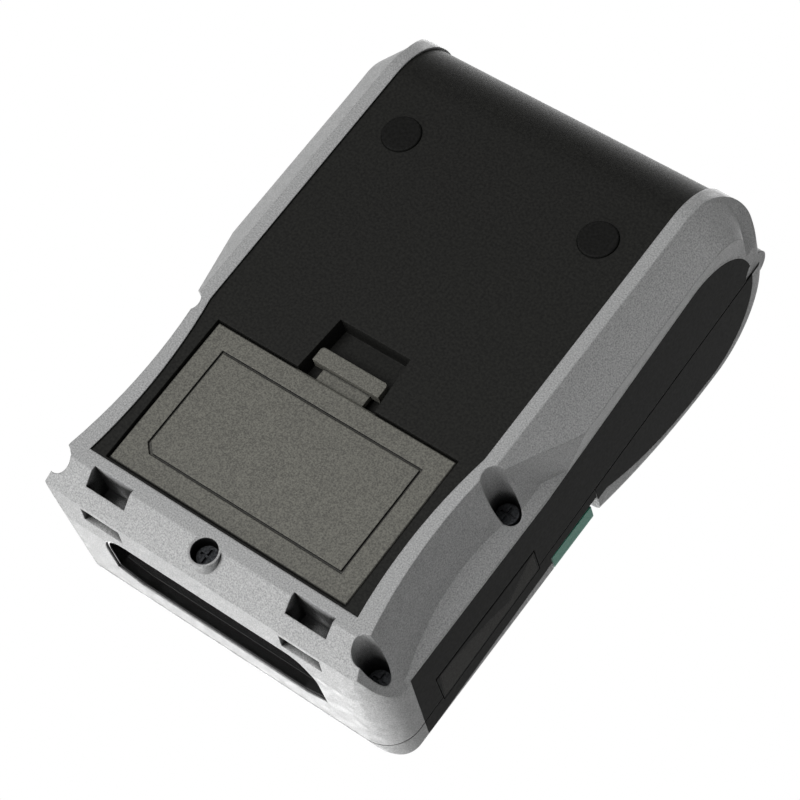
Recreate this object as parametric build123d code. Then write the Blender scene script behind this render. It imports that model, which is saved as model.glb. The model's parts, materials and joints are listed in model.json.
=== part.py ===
from build123d import *
import math
import os

os.makedirs("parts", exist_ok=True)

# Portable label printer, in millimetres, standing on its feet.
# X runs across the label. The control end is at -Y, the roll end at +Y, and +Z is up.
# The origin is on the table under the middle of the body.
# An inset, room, step or drop is measured from the edge or piece that its comment or place names.

# Body outline
half_length = 77.4
half_width = 51.3
deck_top = 52.0
cover_drum_radius = 24.0
rear_bottom_radius = 19.0
front_top_radius = 8.0
front_chamfer_length = 8.6
front_chamfer_height = 5.7
front_slope_height = 18.0
front_lean = 1.2
front_corner_radius = 9.0
rear_corner_radius = 3.5

# Flanks: walls that lean out from the rails, which have a waist beside the battery
rail_inset = 6.6
rail_waist_inset = 8.5
rail_waist_step = 36.8
rail_shoulder_inset = 5.7
rail_shoulder_step = 11.4
rail_front_inset = 5.1
rail_straight_step = 59.9
flank_lean = 0.257
crown_edge_radius = 3.0
flare_border = 0.8

# Hips: from the middle wells back, the lower casing swells past the side panels at 45 degrees
hip_proud = 2.6
hip_lap = 0.4
hip_front_step = 56.4
hip_full_step = 81.4
hip_band_run = 11.2

# Shells and gaps
wall = 2.2
seam_gap = 0.3
seam_groove = 0.35
seam_groove_depth = 0.5
slide_gap = 0.3
running_gap = 0.05
fit_gap = 0.05
snug_gap = 0.1
boss_gap = 0.2

# Parting line: a straight line that falls gently towards the hinge, below the deck
parting_drop = 8.5

# Hinge of the roll cover, below the deck
hinge_drop = 15.5
barrel_radius = 4.3
barrel_proud = 1.0
barrel_end_gap = 0.4
hinge_pin_radius = 1.5
hinge_pin_inset = 11.3
lug_inner = 30.0
lug_width = 6.0
lug_radius = 3.9
lug_web_height = 14.0

# Roll cover, behind the release bar
cover_setback = 2.9
cover_side_width = 7.3
cover_lip = 3.0
window_half_width = 22.0
window_rear_room = 18.4
window_length = 28.0
window_thickness = 1.4
window_ledge = 1.5
window_frame = 2.0
window_low = 45.0

# Side panels, seen from the side
panel_depth = 1.2
panel_front_room = 11.9
panel_low = 20.8
panel_knee_step = 3.7
panel_drum_room = 25.9
panel_drum_drop = 0.5
panel_drum_radius = 20.6
panel_waist_step = 3.4
panel_waist_drop = 6.8
panel_tip_drop = 2.5
panel_tip_lead = 1.4

# Underside panel, inside the rails
skin_recess = 0.6
skin_thickness = 1.6
skin_flange = 1.2
skin_front_room = 12.7
skin_front_inset = 4.2
skin_waist_inset = 5.7
skin_waist_step = 24.1
skin_inset = 3.35
skin_straight_step = 47.2
skin_lap = 1.3

# Feet
foot_radius = 5.05
foot_x = 29.6
foot_rear_room = 32.5
foot_thickness = 1.4
foot_edge_radius = 0.4

# Battery, which is as long and as high as its two cells need
battery_inset = 8.7
battery_setback = 1.0
battery_low = 1.1
battery_edge = 1.0
cell_radius = 9.2
cell_gap = 2.2
cell_side_wall = 1.8
cell_end_room = 3.5
cell_floor = 1.4
cell_headroom = 2.0
cell_end_fit = 0.2
well_wall = 1.4
well_headroom = 0.7
groove_margin = 5.75
groove_width = 0.65
groove_depth = 0.6
groove_corner = 2.3
contact_pitch = 6.0
contact_step = 5.0
contact_hole_half = 0.7
pad_half_width = 1.2
pad_half_length = 2.2
pad_thickness = 0.15
blade_half_width = 0.9
blade_half_length = 1.8
stem_half = 0.5

# Battery latch and its finger recess, behind the battery
recess_half_width = 11.6
recess_length = 15.7
recess_taper = 1.1
recess_depth = 6.6
latch_half_width = 9.9
latch_setback = 3.7
latch_bar_width = 4.0
latch_low = 0.9
latch_thickness = 3.2
latch_corner_radius = 1.0
latch_tongue_half = 7.0
latch_tongue_thickness = 1.6
latch_tongue_sink = 1.0
latch_tongue_reach = 2.4
latch_travel = 1.6

# Strap slots
strap_inset = 8.3
strap_length = 12.0
strap_front_room = 5.2
strap_slot_width = 4.7
strap_slot_low = 7.3
strap_slot_high = 12.1
strap_wall = 0.8

# Screw wells
well_inset = 4.9
front_well_room = 7.4
mid_well_step = 0.8
centre_well_room = 6.7
screw_bore_radius = 3.4
screw_bore_depth = 20.0
screw_boss_radius = 4.4
screw_seat = 2.0
screw_tower_radius = 2.4
centre_boss_radius = 4.0
centre_bore_radius = 3.4
centre_bore_depth = 5.0
screw_head_radius = 2.8
screw_head_height = 2.0
screw_slot_half = 2.0
screw_slot_width = 0.7
screw_slot_depth = 0.8
screw_shank_radius = 1.5
screw_bite = 5.0
shank_clearance = 0.2

# Front insert
insert_inset = 18.5
insert_low = 14.8
insert_drop = 7.5
insert_shoulder_drop = 2.8
insert_shoulder_inset = 7.2
insert_corner = 8.0
insert_recess = 3.2
insert_wall = 0.8
insert_lap = 1.3
insert_setback = 0.5

# Control panel on the deck
plate_inset = 13.3
plate_front_room = 11.4
plate_length = 45.0
plate_thickness = 1.6
plate_proud = 0.3
plate_ledge = 2.0
plate_corner = 4.0
display_half_width = 19.0
display_length = 19.0
display_rear_room = 5.0
lens_thickness = 1.0
lens_ledge = 1.5
display_thickness = 2.6
display_border = 2.0
button_front_room = 10.5
button_pitch = 19.0
button_radius = 5.1
button_proud = 0.9
button_travel = 0.6
button_flange = 1.0
button_flange_thickness = 0.9
button_skirt = 0.3
button_under_gap = 0.15
button_edge = 0.5
button_board_depth = 5.4
button_board_half = 8.5
button_board_left = 13.0
button_board_right = 15.0
board_thickness = 1.6
switch_size = 6.0
switch_plunger = 0.8
switch_plunger_radius = 1.75
switch_gap = 0.3
post_radius = 1.8
post_left = 10.0
post_right = 8.0
post_offset = 6.0
light_pipe_radius = 1.2
light_pipe_step = 12.0
light_pipe_proud = 0.2

# Main board, below the deck, and its sockets
board_drop = 19.0
board_inset = 10.3
board_front_room = 10.9
board_length = 47.3
standoff_inset = 8.0
standoff_front_room = 7.5
standoff_rear_room = 6.8
standoff_radius = 2.4
standoff_bore = 6.0
board_screw_radius = 1.0
board_screw_head = 2.0
board_screw_head_height = 1.4
board_screw_bite = 5.0
chip_size = 12.0
chip_step = 16.5
chip_height = 1.4
memory_width = 10.0
memory_depth = 8.0
memory_x = 14.0
memory_step = 26.5
connector_width = 20.0
connector_depth = 5.0
connector_x = 6.0
connector_step = 37.5
connector_height = 5.0
capacitor_x = -24.0
capacitor_step = 30.5
capacitor_pitch = 7.0
capacitor_radius = 2.2
capacitor_height = 3.5
usb_width = 9.0
usb_height = 3.2
usb_step = 21.0
power_width = 9.0
power_height = 5.2
power_step = 35.5
socket_depth = 8.0
socket_setback = 0.5
socket_wall = 0.4
socket_hole_radius = 1.9
socket_floor = 2.0

# Port flap in the left panel, with a soft grip pad let into its face
flap_drop = 0.4
flap_front_margin = 6.0
flap_rear_margin = 4.7
flap_rise = 1.2
flap_thickness = 1.4
flap_gap = 0.3
port_front_margin = 7.5
port_rear_margin = 6.0
port_low_step = 2.6
port_height = 4.4
plug_depth = 1.2
plug_gap = 0.9
plug_rim = 1.0
grip_thickness = 0.5
grip_border = 0.5
grip_front_lead = 1.3
grip_middle_run = 15.7
grip_middle_low = 2.9
grip_peak_run = 25.7
grip_peak_low = 6.2

# Print station: the platen lies behind the front edge of the cover
platen_setback = 5.6
platen_drop = 9.8
platen_radius = 6.0
platen_inset = 11.3
platen_shaft_radius = 2.5
platen_room = 0.6
head_gap = 0.3
head_thickness = 1.2
head_end_gap = 0.2
head_below = 6.8
head_above = 4.2
bracket_thickness = 2.6
bracket_below = 8.2
bracket_above = 2.8
bracket_rib_pitch = 8.0
bracket_rib_count = 9
bracket_pocket_half = 1.5
bracket_pocket_depth = 1.2
bracket_pocket_low = 2.5
bracket_pocket_high = 1.0
head_pivot_drop = 7.0
head_pivot_radius = 1.2
arm_gap = 0.3
arm_thickness = 1.7
arm_front = 1.0
arm_rear = 5.0
arm_below = 5.0
arm_above = 6.8
carrier_rear = 8.0
carrier_above = 1.8
bush_radius = 3.6
bush_lip = 0.4
chassis_plate = 0.8
chassis_front_step = 5.2
chassis_rear_step = 8.0
chassis_above = 5.2
chassis_foot_width = 9.1
chassis_foot_front = 2.0
chassis_foot_rear = 4.0
chassis_corner = 4.0
chassis_toe = 3.0
chassis_heel = 8.0
cross_setback = 5.0
cross_below = 8.8
cross_above = 1.8
tear_bar_step = 0.4
tear_bar_thickness = 0.8
tear_bar_overlap = 0.5
tear_bar_drop = 0.6
tear_tooth = 1.6
tear_depth = 0.8
spring_width = 7.0
spring_x = 22.0
spring_thickness = 0.4
spring_low = 6.2
spring_bend = 1.2
spring_tip = 1.3
spring_tip_height = 0.6

# Gears
module = 0.5
platen_teeth = 24
idler_teeth = 30
motor_teeth = 14
gear_gap = 0.4
gear_width = 2.1
gear_backlash = 0.12
gear_mesh_slack = 0.06
root_depth = 1.25
rack_tooth_height = 0.8
idler_axle_radius = 1.5
axle_cap = 0.8
axle_cap_gap = 0.1
motor_angle = 227.0
motor_radius = 10.0
motor_length = 15.0
motor_shaft_radius = 1.0
motor_shaft_length = 5.5
motor_bore_depth = 6.0
motor_ear_half = 2.5
motor_ear_low = 13.5
motor_ear_high = 11.5
pressure_angle = 20.0

# Release bar, behind the battery and level with the deck
release_setback = 5.4
release_length = 16.2
release_depth = 7.4
release_thickness = 1.7
release_gap = 0.4
release_rise = 0.2
release_pivot_step = 3.7
release_pivot_drop = 3.4
release_pivot_radius = 0.8
release_pivot_inset = 6.9
release_lug_width = 1.8
release_lug_radius = 1.5
release_shelf = 1.6
release_shelf_drop = 3.6
release_sink = 0.6
release_wall = 1.6
hook_inset = 4.5
hook_width = 1.8
hook_drop = 12.4
hook_step = 0.4
hook_nose = 1.6
catch_step = 2.0
catch_thickness = 1.6

# Roll tub, guides and their racks: the tub fills the room between the print station and the rear
tub_front_step = 9.5
tub_rear_room = 7.9
tub_wall = 1.6
tub_inset = 9.6
tub_floor = 8.6
tub_flat_half = 10.5
tub_leg_inset = 3.7
tub_leg_half = 2.0
tub_leg_front = 14.0
tub_leg_rear = 11.0
tub_rim_gap = 0.2
lip_step = 7.5
lip_drop = 4.2
lip_thickness = 1.5
lip_run = 3.0
lip_sink = 0.5
sensor_half = 8.0
sensor_thickness = 1.9
sensor_height = 3.3
guide_end_gap = 0.5
guide_thickness = 1.4
guide_disc_radius = 15.0
guide_leg_half = 9.0
guide_hub_radius = 5.4
guide_hub_wall = 1.4
guide_hub_length = 4.0
guide_travel = 20.0
guide_pinion_teeth = 16
rack_low = 3.7
rack_high = 6.4
rack_body = 2.2
rack_overrun = 3.0
arm_width = 2.4
arm_foot = 3.0
arm_height = 1.0
pinion_post_radius = 1.25
pinion_end_gap = 0.1

# Blocks that cut or clip reach past the body by this much
beyond = 10.0

# Worked out from the values above: heights
hinge_height = deck_top - hinge_drop
parting_front = deck_top - parting_drop
drum_top = hinge_height + cover_drum_radius
inner_floor = skin_recess + skin_thickness + skin_flange
plate_top = deck_top + plate_proud
plate_low = plate_top - plate_thickness
battery_height = cell_floor + 2 * cell_radius + cell_headroom
battery_top = battery_low + battery_height
well_roof = battery_top + well_headroom
board_low = deck_top - board_drop
board_top = board_low + board_thickness
insert_high = parting_front - insert_drop
insert_shoulder = insert_high - insert_shoulder_drop
port_low = board_low + port_low_step
port_high = port_low + port_height
flap_low = board_low - flap_drop
platen_z = deck_top - platen_drop
head_low = platen_z - head_below
head_high = platen_z + head_above
bracket_low = platen_z - bracket_below
bracket_high = platen_z + bracket_above
head_pivot_z = platen_z - head_pivot_drop
cross_low = platen_z - cross_below
cross_high = platen_z + cross_above
chassis_top = platen_z + chassis_above
tear_bar_low = chassis_top - tear_bar_overlap
tear_bar_high = deck_top - tear_bar_drop
release_low = deck_top - release_depth
release_pivot_z = deck_top - release_pivot_drop
hook_low = deck_top - hook_drop
lip_top = platen_z - lip_drop
panel_drum_z = hinge_height - panel_drum_drop
panel_waist_z = deck_top - panel_waist_drop
panel_tip_z = deck_top - panel_tip_drop

# Worked out: places along the body, from the control end back to the print station
front_y = -half_length
skin_front = front_y + skin_front_room
skin_waist_y = skin_front + skin_waist_step
skin_straight = skin_front + skin_straight_step
cell_pitch = 2 * cell_radius + cell_gap
battery_front = skin_front + battery_setback
battery_rear = battery_front + cell_pitch + 2 * cell_radius + 2 * cell_side_wall
recess_rear = battery_rear + recess_length
latch_front = battery_rear + latch_setback
latch_rear = latch_front + latch_bar_width
strap_slot_front = front_y + strap_front_room
strap_slot_rear = strap_slot_front + strap_slot_width
front_well_y = front_y + front_well_room
mid_well_y = battery_rear + mid_well_step
centre_well_y = front_y + centre_well_room
plate_front = front_y + plate_front_room
plate_rear = plate_front + plate_length
display_rear = plate_rear - display_rear_room
display_front = display_rear - display_length
button_y = plate_front + button_front_room
board_front = front_y + board_front_room
board_rear = board_front + board_length
standoff_front = board_front + standoff_front_room
standoff_rear = board_rear - standoff_rear_room
usb_y = board_front + usb_step
power_y = board_front + power_step
port_front = usb_y - port_front_margin
port_rear = power_y + port_rear_margin
flap_front = port_front - flap_front_margin
flap_rear = port_rear + flap_rear_margin
release_front = battery_rear + release_setback
release_rear = release_front + release_length
release_pivot_y = release_front + release_pivot_step
cover_front = release_rear + cover_setback
platen_y = cover_front + platen_setback
head_face = platen_y - platen_radius - head_gap
bracket_face = head_face - head_thickness
bracket_back = bracket_face - bracket_thickness
cross_y = bracket_back - cross_setback
tear_bar_y = release_rear + tear_bar_step
chassis_front = release_front + chassis_front_step
chassis_rear = platen_y + chassis_rear_step
lip_front = platen_y + lip_step
panel_front = front_y + panel_front_room
panel_knee = release_front + panel_knee_step
panel_waist_y = cover_front + panel_waist_step

# Worked out: places along the body, from the roll end forward
hinge_y = half_length - barrel_radius
hinge_cut = barrel_radius + seam_gap
rear_y = half_length - barrel_proud
drum_y = rear_y - cover_drum_radius
foot_y = rear_y - foot_rear_room
window_rear = rear_y - window_rear_room
window_front = window_rear - window_length
panel_drum_y = rear_y - panel_drum_room
tub_front = platen_y + tub_front_step
tub_rear = rear_y - tub_rear_room
roll_y = (tub_front + tub_rear) / 2
tub_radius = (tub_rear - tub_front) / 2
tub_inner_radius = tub_radius - tub_wall
roll_z = tub_floor + math.sqrt(tub_inner_radius ** 2 - tub_flat_half ** 2)

# Worked out: widths, from the flank inwards
rail_half_width = half_width - rail_inset
rail_waist_half = half_width - rail_waist_inset
rail_shoulder_half = half_width - rail_shoulder_inset
rail_front_half = half_width - rail_front_inset
hip_half_width = half_width + hip_proud
panel_inner = half_width - panel_depth
lug_outer = lug_inner + lug_width
hinge_pin_half_length = half_width - hinge_pin_inset
cover_split = half_width - cover_side_width
skin_front_half = rail_half_width - skin_front_inset
skin_waist_half = rail_half_width - skin_waist_inset
skin_half_width = rail_half_width - skin_inset
battery_half_width = rail_half_width - battery_inset
cell_length = 2 * (battery_half_width - cell_end_room)
recess_rear_half = recess_half_width - recess_taper
strap_outer = rail_half_width - strap_inset
strap_inner = strap_outer - strap_length
well_x = half_width - well_inset
insert_half_width = half_width - insert_inset
insert_shoulder_half = insert_half_width - insert_shoulder_inset
plate_half_width = half_width - plate_inset
light_pipe_x = button_pitch + light_pipe_step
board_half_width = half_width - board_inset
standoff_x = board_half_width - standoff_inset
flap_axis_x = -half_width + flap_thickness / 2
flap_axis_z = flap_low + flap_thickness / 2
socket_mouth = -half_width + flap_thickness + plug_depth + socket_setback
platen_half_length = half_width - platen_inset
head_half_length = platen_half_length - head_end_gap
arm_inner = platen_half_length + arm_gap
arm_outer = arm_inner + arm_thickness
plate_inner = arm_outer + arm_gap
plate_outer = plate_inner + chassis_plate
gear_inner = plate_outer + gear_gap
gear_outer = gear_inner + gear_width
chassis_foot_inner = plate_outer - chassis_foot_width
release_pivot_inner = half_width - release_pivot_inset
release_pivot_outer = release_pivot_inner + release_lug_width
hook_x = half_width - hook_inset
tub_half_length = half_width - tub_inset
guide_outer = tub_half_length - guide_end_gap

# Worked out: gear sizes and the reach of cutting blocks
parting_fall = (parting_front - hinge_height) / (hinge_y - front_y)
platen_gear_radius = module * platen_teeth / 2
idler_radius = module * idler_teeth / 2
motor_gear_radius = module * motor_teeth / 2
far_x = half_width + beyond
far_y = half_length + beyond
far_z = drum_top + beyond


def parting(y):
    return parting_front - parting_fall * (y - front_y)


# Small builders


def box(x0, x1, y0, y1, z0, z1):
    centre = Pos((x0 + x1) / 2, (y0 + y1) / 2, (z0 + z1) / 2)
    return centre * Box(x1 - x0, y1 - y0, z1 - z0)


def rod(start, direction, length, radius):
    placed = Plane(origin=start, z_dir=direction)
    return placed * Cylinder(radius, length, align=(Align.CENTER, Align.CENTER, Align.MIN))


def rod_x(x0, x1, y, z, radius):
    return rod((x0, y, z), (1, 0, 0), x1 - x0, radius)


def rod_y(x, y0, y1, z, radius):
    return rod((x, y0, z), (0, 1, 0), y1 - y0, radius)


def rod_z(x, y, z0, z1, radius):
    return rod((x, y, z0), (0, 0, 1), z1 - z0, radius)


def polygon(points):
    return Face(Wire.make_polygon([Vector(u, v) for u, v in points]))


def along_x(face, x0, x1):
    placed = Plane(origin=(x0, 0, 0), x_dir=(0, 1, 0), z_dir=(1, 0, 0)) * face
    return Solid.extrude(placed, Vector(x1 - x0, 0, 0))


def along_y(face, y0, y1):
    placed = Plane(origin=(0, y0, 0), x_dir=(1, 0, 0), z_dir=(0, -1, 0)) * face
    return Solid.extrude(placed, Vector(0, y1 - y0, 0))


def along_z(face, z0, z1):
    return Solid.extrude(Pos(0, 0, z0) * face, Vector(0, 0, z1 - z0))


def mirrored(shape):
    return mirror(shape, about=Plane.YZ)


def both(shape):
    return [shape, mirrored(shape)]


def on_circle(y, z, radius, degrees):
    angle = math.radians(degrees)
    return (y + radius * math.cos(angle), z + radius * math.sin(angle))


def write(name, shapes):
    group = shapes if isinstance(shapes, list) else [shapes]
    solids = [solid for shape in group for solid in shape.solids()]
    whole = solids[0] if len(solids) == 1 else Compound(solids)
    whole.label = name
    export_step(whole, f"parts/{name}.step")


# Body outline, seen from the side and from above


def side_outline():
    rim_y = front_y + front_chamfer_length
    crease = (front_y + front_lean, front_chamfer_height)
    rise = drum_top - deck_top
    run = drum_y - cover_front
    crown_radius = (run ** 2 + rise ** 2) / (2 * rise)
    crown_angle = 90 + math.degrees(math.asin(run / crown_radius)) / 2
    crown_middle = on_circle(drum_y, drum_top - crown_radius, crown_radius, crown_angle)
    top_corner = (front_y + front_top_radius, deck_top - front_top_radius)
    edges = [
        Line((rim_y, 0), (rear_y - rear_bottom_radius, 0)),
        ThreePointArc(
            (rear_y - rear_bottom_radius, 0),
            on_circle(rear_y - rear_bottom_radius, rear_bottom_radius, rear_bottom_radius, -45),
            (rear_y, rear_bottom_radius),
        ),
        Line((rear_y, rear_bottom_radius), (rear_y, hinge_height)),
        ThreePointArc(
            (rear_y, hinge_height),
            on_circle(drum_y, hinge_height, cover_drum_radius, 45),
            (drum_y, drum_top),
        ),
        ThreePointArc((drum_y, drum_top), crown_middle, (cover_front, deck_top)),
        Line((cover_front, deck_top), (front_y + front_top_radius, deck_top)),
        ThreePointArc(
            (front_y + front_top_radius, deck_top),
            on_circle(*top_corner, front_top_radius, 135),
            (front_y, deck_top - front_top_radius),
        ),
        Line((front_y, deck_top - front_top_radius), (front_y, front_slope_height)),
        Line((front_y, front_slope_height), crease),
        Line(crease, (rim_y, 0)),
    ]
    return Face(Wire(edges))


def inset_outline(inset):
    if inset == 0:
        return side_outline()
    return offset(side_outline(), -inset, kind=Kind.INTERSECTION).face()


def side_panel_outline():
    drum = (panel_drum_y, panel_drum_z, panel_drum_radius)
    low_end = on_circle(*drum, -95)
    high_end = on_circle(*drum, 100)
    shoulder = ((high_end[0] + panel_waist_y) / 2, panel_waist_z + 0.76 * (high_end[1] - panel_waist_z))
    tip = (panel_front - panel_tip_lead, panel_tip_z)
    edges = [
        Line((panel_front, panel_low), (panel_knee, panel_low)),
        Line((panel_knee, panel_low), low_end),
        ThreePointArc(low_end, on_circle(*drum, 0), high_end),
        ThreePointArc(high_end, shoulder, (panel_waist_y, panel_waist_z)),
        Line((panel_waist_y, panel_waist_z), tip),
        Line(tip, (panel_front, panel_low)),
    ]
    return Face(Wire(edges))


def rail_zone(inset):
    straight = front_y + rail_straight_step
    waist = (rail_waist_half - inset, front_y + rail_waist_step)
    shoulder = (rail_shoulder_half - inset, front_y + rail_shoulder_step)
    half = rail_half_width - hip_lap - inset
    front_half = rail_front_half - inset
    edges = [
        Line((half, far_y), (-half, far_y)),
        Line((-half, far_y), (-half, straight)),
        ThreePointArc((-half, straight), (-waist[0], waist[1]), (-shoulder[0], shoulder[1])),
        Line((-shoulder[0], shoulder[1]), (-front_half, front_y - 1)),
        Line((-front_half, front_y - 1), (front_half, front_y - 1)),
        Line((front_half, front_y - 1), shoulder),
        ThreePointArc(shoulder, waist, (half, straight)),
        Line((half, straight), (half, far_y)),
    ]
    lean = math.degrees(math.atan(flank_lean))
    return extrude(Face(Wire(edges)), amount=far_z, taper=-lean)


def hip():
    flank = [
        Line((front_y, 0), (rear_y - rear_bottom_radius, 0)),
        ThreePointArc(
            (rear_y - rear_bottom_radius, 0),
            on_circle(rear_y - rear_bottom_radius, rear_bottom_radius, rear_bottom_radius, -45),
            (rear_y, rear_bottom_radius),
        ),
        Line((rear_y, rear_bottom_radius), (rear_y, deck_top)),
        Line((rear_y, deck_top), (front_y, deck_top)),
        Line((front_y, deck_top), (front_y, 0)),
    ]
    base = Plane(origin=(rail_half_width, 0, 0), x_dir=(0, 1, 0), z_dir=(1, 0, 0))
    swell = extrude(base * Face(Wire(flank)), amount=hip_half_width - rail_half_width, taper=45)
    swell += extrude(base * Face(Wire(flank)), amount=-2 * hip_lap)
    border = offset(side_panel_outline(), flare_border, kind=Kind.INTERSECTION).face()
    side = Plane(origin=(half_width, 0, 0), x_dir=(0, 1, 0), z_dir=(1, 0, 0))
    band_angle = math.degrees(math.atan(hip_band_run / hip_proud))
    swell -= extrude(side * border, amount=hip_proud + 1, taper=-band_angle)
    start = (rail_half_width, front_y + hip_front_step)
    full = (hip_half_width, front_y + hip_full_step)
    plan = polygon([start, full, (hip_half_width, rear_y), (0, rear_y), (0, start[1])])
    return swell & along_z(plan, -1, deck_top) & below_parting(0)


def pod(inset):
    border = offset(side_panel_outline(), flare_border, kind=Kind.INTERSECTION).face()
    outer = half_width - inset
    placed = Plane(origin=(-outer, 0, 0), x_dir=(0, 1, 0), z_dir=(1, 0, 0)) * border
    return extrude(placed, amount=outer - rail_half_width + 2.0, taper=-45)


def plan_zone(inset):
    plan = Rectangle(2 * (half_width - inset), 2 * (half_length - inset))
    corners = plan.vertices().sort_by(Axis.Y)
    plan = fillet(corners[:2], front_corner_radius - inset)
    plan = fillet(plan.vertices().sort_by(Axis.Y)[-2:], rear_corner_radius - inset)
    return along_z(plan.face(), -1, far_z)


def slab(inset):
    half = half_width - inset
    solid = along_x(inset_outline(inset), -half, half)
    crown = [
        edge
        for edge in solid.edges()
        if abs(edge.center().X) > half - 0.01 and edge.center().Z > deck_top - front_top_radius
    ]
    return fillet(crown, crown_edge_radius - inset)


def body_solid(inset):
    left_pod = pod(inset)
    cross = rail_zone(inset) + left_pod + mirrored(left_pod)
    return slab(inset) & cross & plan_zone(inset)


def below_parting(gap):
    ends = (front_y - 2, half_length + 2)
    high = [(y, parting(y) - gap) for y in reversed(ends)]
    face = polygon([(ends[0], -beyond), (ends[1], -beyond)] + high)
    return along_x(face, -far_x, far_x)


def above_parting(gap, y0, y1):
    face = polygon([(y0, parting(y0) + gap), (y1, parting(y1) + gap), (y1, far_z), (y0, far_z)])
    return along_x(face, -far_x, far_x)


right_hip = hip()
outer_body = body_solid(0) + right_hip + mirrored(right_hip)
inner_body = body_solid(wall)
shell = outer_body - inner_body


def skin_plan(grow):
    half = skin_half_width + grow
    front = skin_front - grow
    front_half = skin_front_half + grow
    waist = skin_waist_half + grow
    edges = [
        Line((-front_half, front), (front_half, front)),
        ThreePointArc((front_half, front), (waist, skin_waist_y), (half, skin_straight)),
        Line((half, skin_straight), (half, far_y)),
        Line((half, far_y), (-half, far_y)),
        Line((-half, far_y), (-half, skin_straight)),
        ThreePointArc((-half, skin_straight), (-waist, skin_waist_y), (-front_half, front)),
    ]
    return along_z(Face(Wire(edges)), -beyond, far_z)


def skin_band(near, far):
    return along_x(inset_outline(near), -half_width, half_width) - along_x(inset_outline(far), -far_x, far_x)


hinge_space = rod_x(-far_x, far_x, hinge_y, hinge_height, hinge_cut)

# Battery well, latch recess and strap channels

battery_plan = (
    -battery_half_width - slide_gap,
    battery_half_width + slide_gap,
    battery_front - slide_gap,
    battery_rear + slide_gap,
)
well_space = box(*battery_plan, -1, well_roof)
recess_face = polygon([
    (-recess_half_width, battery_rear),
    (recess_half_width, battery_rear),
    (recess_rear_half, recess_rear),
    (-recess_rear_half, recess_rear),
])
recess_space = along_z(recess_face, -1, recess_depth)


def strap_channel(side):
    near = min(side * strap_inner, side * strap_outer)
    far = max(side * strap_inner, side * strap_outer)
    down = box(near, far, strap_slot_front, strap_slot_rear, -1, strap_slot_high)
    forward = box(near, far, front_y - 1, strap_slot_rear, strap_slot_low, strap_slot_high)
    return down + forward


def strap_block(side):
    near = min(side * strap_inner, side * strap_outer) - strap_wall
    far = max(side * strap_inner, side * strap_outer) + strap_wall
    return box(near, far, front_y, strap_slot_rear + strap_wall, 0, strap_slot_high + strap_wall)


# Screw wells: bore from below, seat, and a long boss up to the parting line

corner_wells = [
    (side * well_x, y, screw_bore_depth, screw_boss_radius, screw_bore_radius)
    for side in (-1, 1)
    for y in (front_well_y, mid_well_y)
]
centre_well = (0, centre_well_y, centre_bore_depth, centre_boss_radius, centre_bore_radius)
screw_wells = corner_wells + [centre_well]


def well_boss(x, y, depth, boss_radius, bore_radius):
    low = rod_z(x, y, 0, depth + screw_seat, boss_radius)
    high = rod_z(x, y, depth, parting(y) - seam_gap, screw_tower_radius)
    return low + high


def well_bore(x, y, depth, boss_radius, bore_radius):
    bore = rod_z(x, y, -1, depth, bore_radius)
    hole = rod_z(x, y, depth - 1, parting(y) + 1, screw_shank_radius + shank_clearance)
    return bore + hole


def casing_screw(x, y, depth):
    head = rod_z(x, y, depth - screw_head_height, depth, screw_head_radius)
    slot_top = depth - screw_head_height + screw_slot_depth
    long, thin = screw_slot_half, screw_slot_width / 2
    head -= box(x - long, x + long, y - thin, y + thin, 0, slot_top)
    head -= box(x - thin, x + thin, y - long, y + long, 0, slot_top)
    return head + rod_z(x, y, depth, parting(y) + screw_bite, screw_shank_radius)


# Front insert: a dark tray in a window of the front wall


def insert_outline(grow):
    half = insert_half_width + grow
    low = insert_low - grow
    right = [
        (half, low),
        (half, insert_shoulder + grow),
        (insert_shoulder_half + grow, insert_high + grow),
    ]
    left = [(-x, z) for x, z in reversed(right)]
    face = polygon(right + left)
    low_corners = face.vertices().sort_by(Axis.Y)[:2]
    return face.fillet_2d(insert_corner + grow, low_corners)


def front_insert():
    back = front_y + insert_recess + insert_wall
    frame = along_y(insert_outline(insert_lap), front_y + wall, back) & inner_body
    collar = along_y(insert_outline(-snug_gap), front_y + insert_setback, back)
    hollow = along_y(insert_outline(-insert_wall), front_y - 1, front_y + insert_recess)
    return frame + collar - hollow


# Lower casing


def side_panel(outer, inner, zone):
    return along_x(side_panel_outline(), -outer, -inner) & zone


def flap_outline(low, grow):
    front, rear = flap_front - grow, flap_rear + grow
    rise = flap_rise + grow
    return polygon([(front, low), (rear, low), (rear, parting(rear) + rise), (front, parting(front) + rise)])


flap_back = -half_width + flap_thickness + snug_gap
flap_space = along_x(flap_outline(flap_low - flap_gap, flap_gap), -half_width - 1, flap_back)
port_space = box(-half_width - 1, -half_width + wall + 1, port_front, port_rear, port_low, port_high)


def lower_casing():
    casing = shell & below_parting(0)
    for side in (-1, 1):
        casing += strap_block(side) & outer_body
    for well in corner_wells:
        casing += well_boss(*well) & outer_body
    casing += well_boss(*centre_well)
    casing -= skin_plan(0) & skin_band(-1, wall)
    casing -= below_parting(-beyond) & hinge_space
    for side in (-1, 1):
        casing -= strap_channel(side)
    for well in screw_wells:
        casing -= well_bore(*well)
    casing -= along_y(insert_outline(0), front_y - 1, front_y + wall + front_lean)
    recess = side_panel(half_width + 1, panel_inner, below_parting(-1))
    casing -= recess
    casing -= mirrored(recess)
    casing -= flap_space
    casing -= port_space
    return casing


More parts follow.
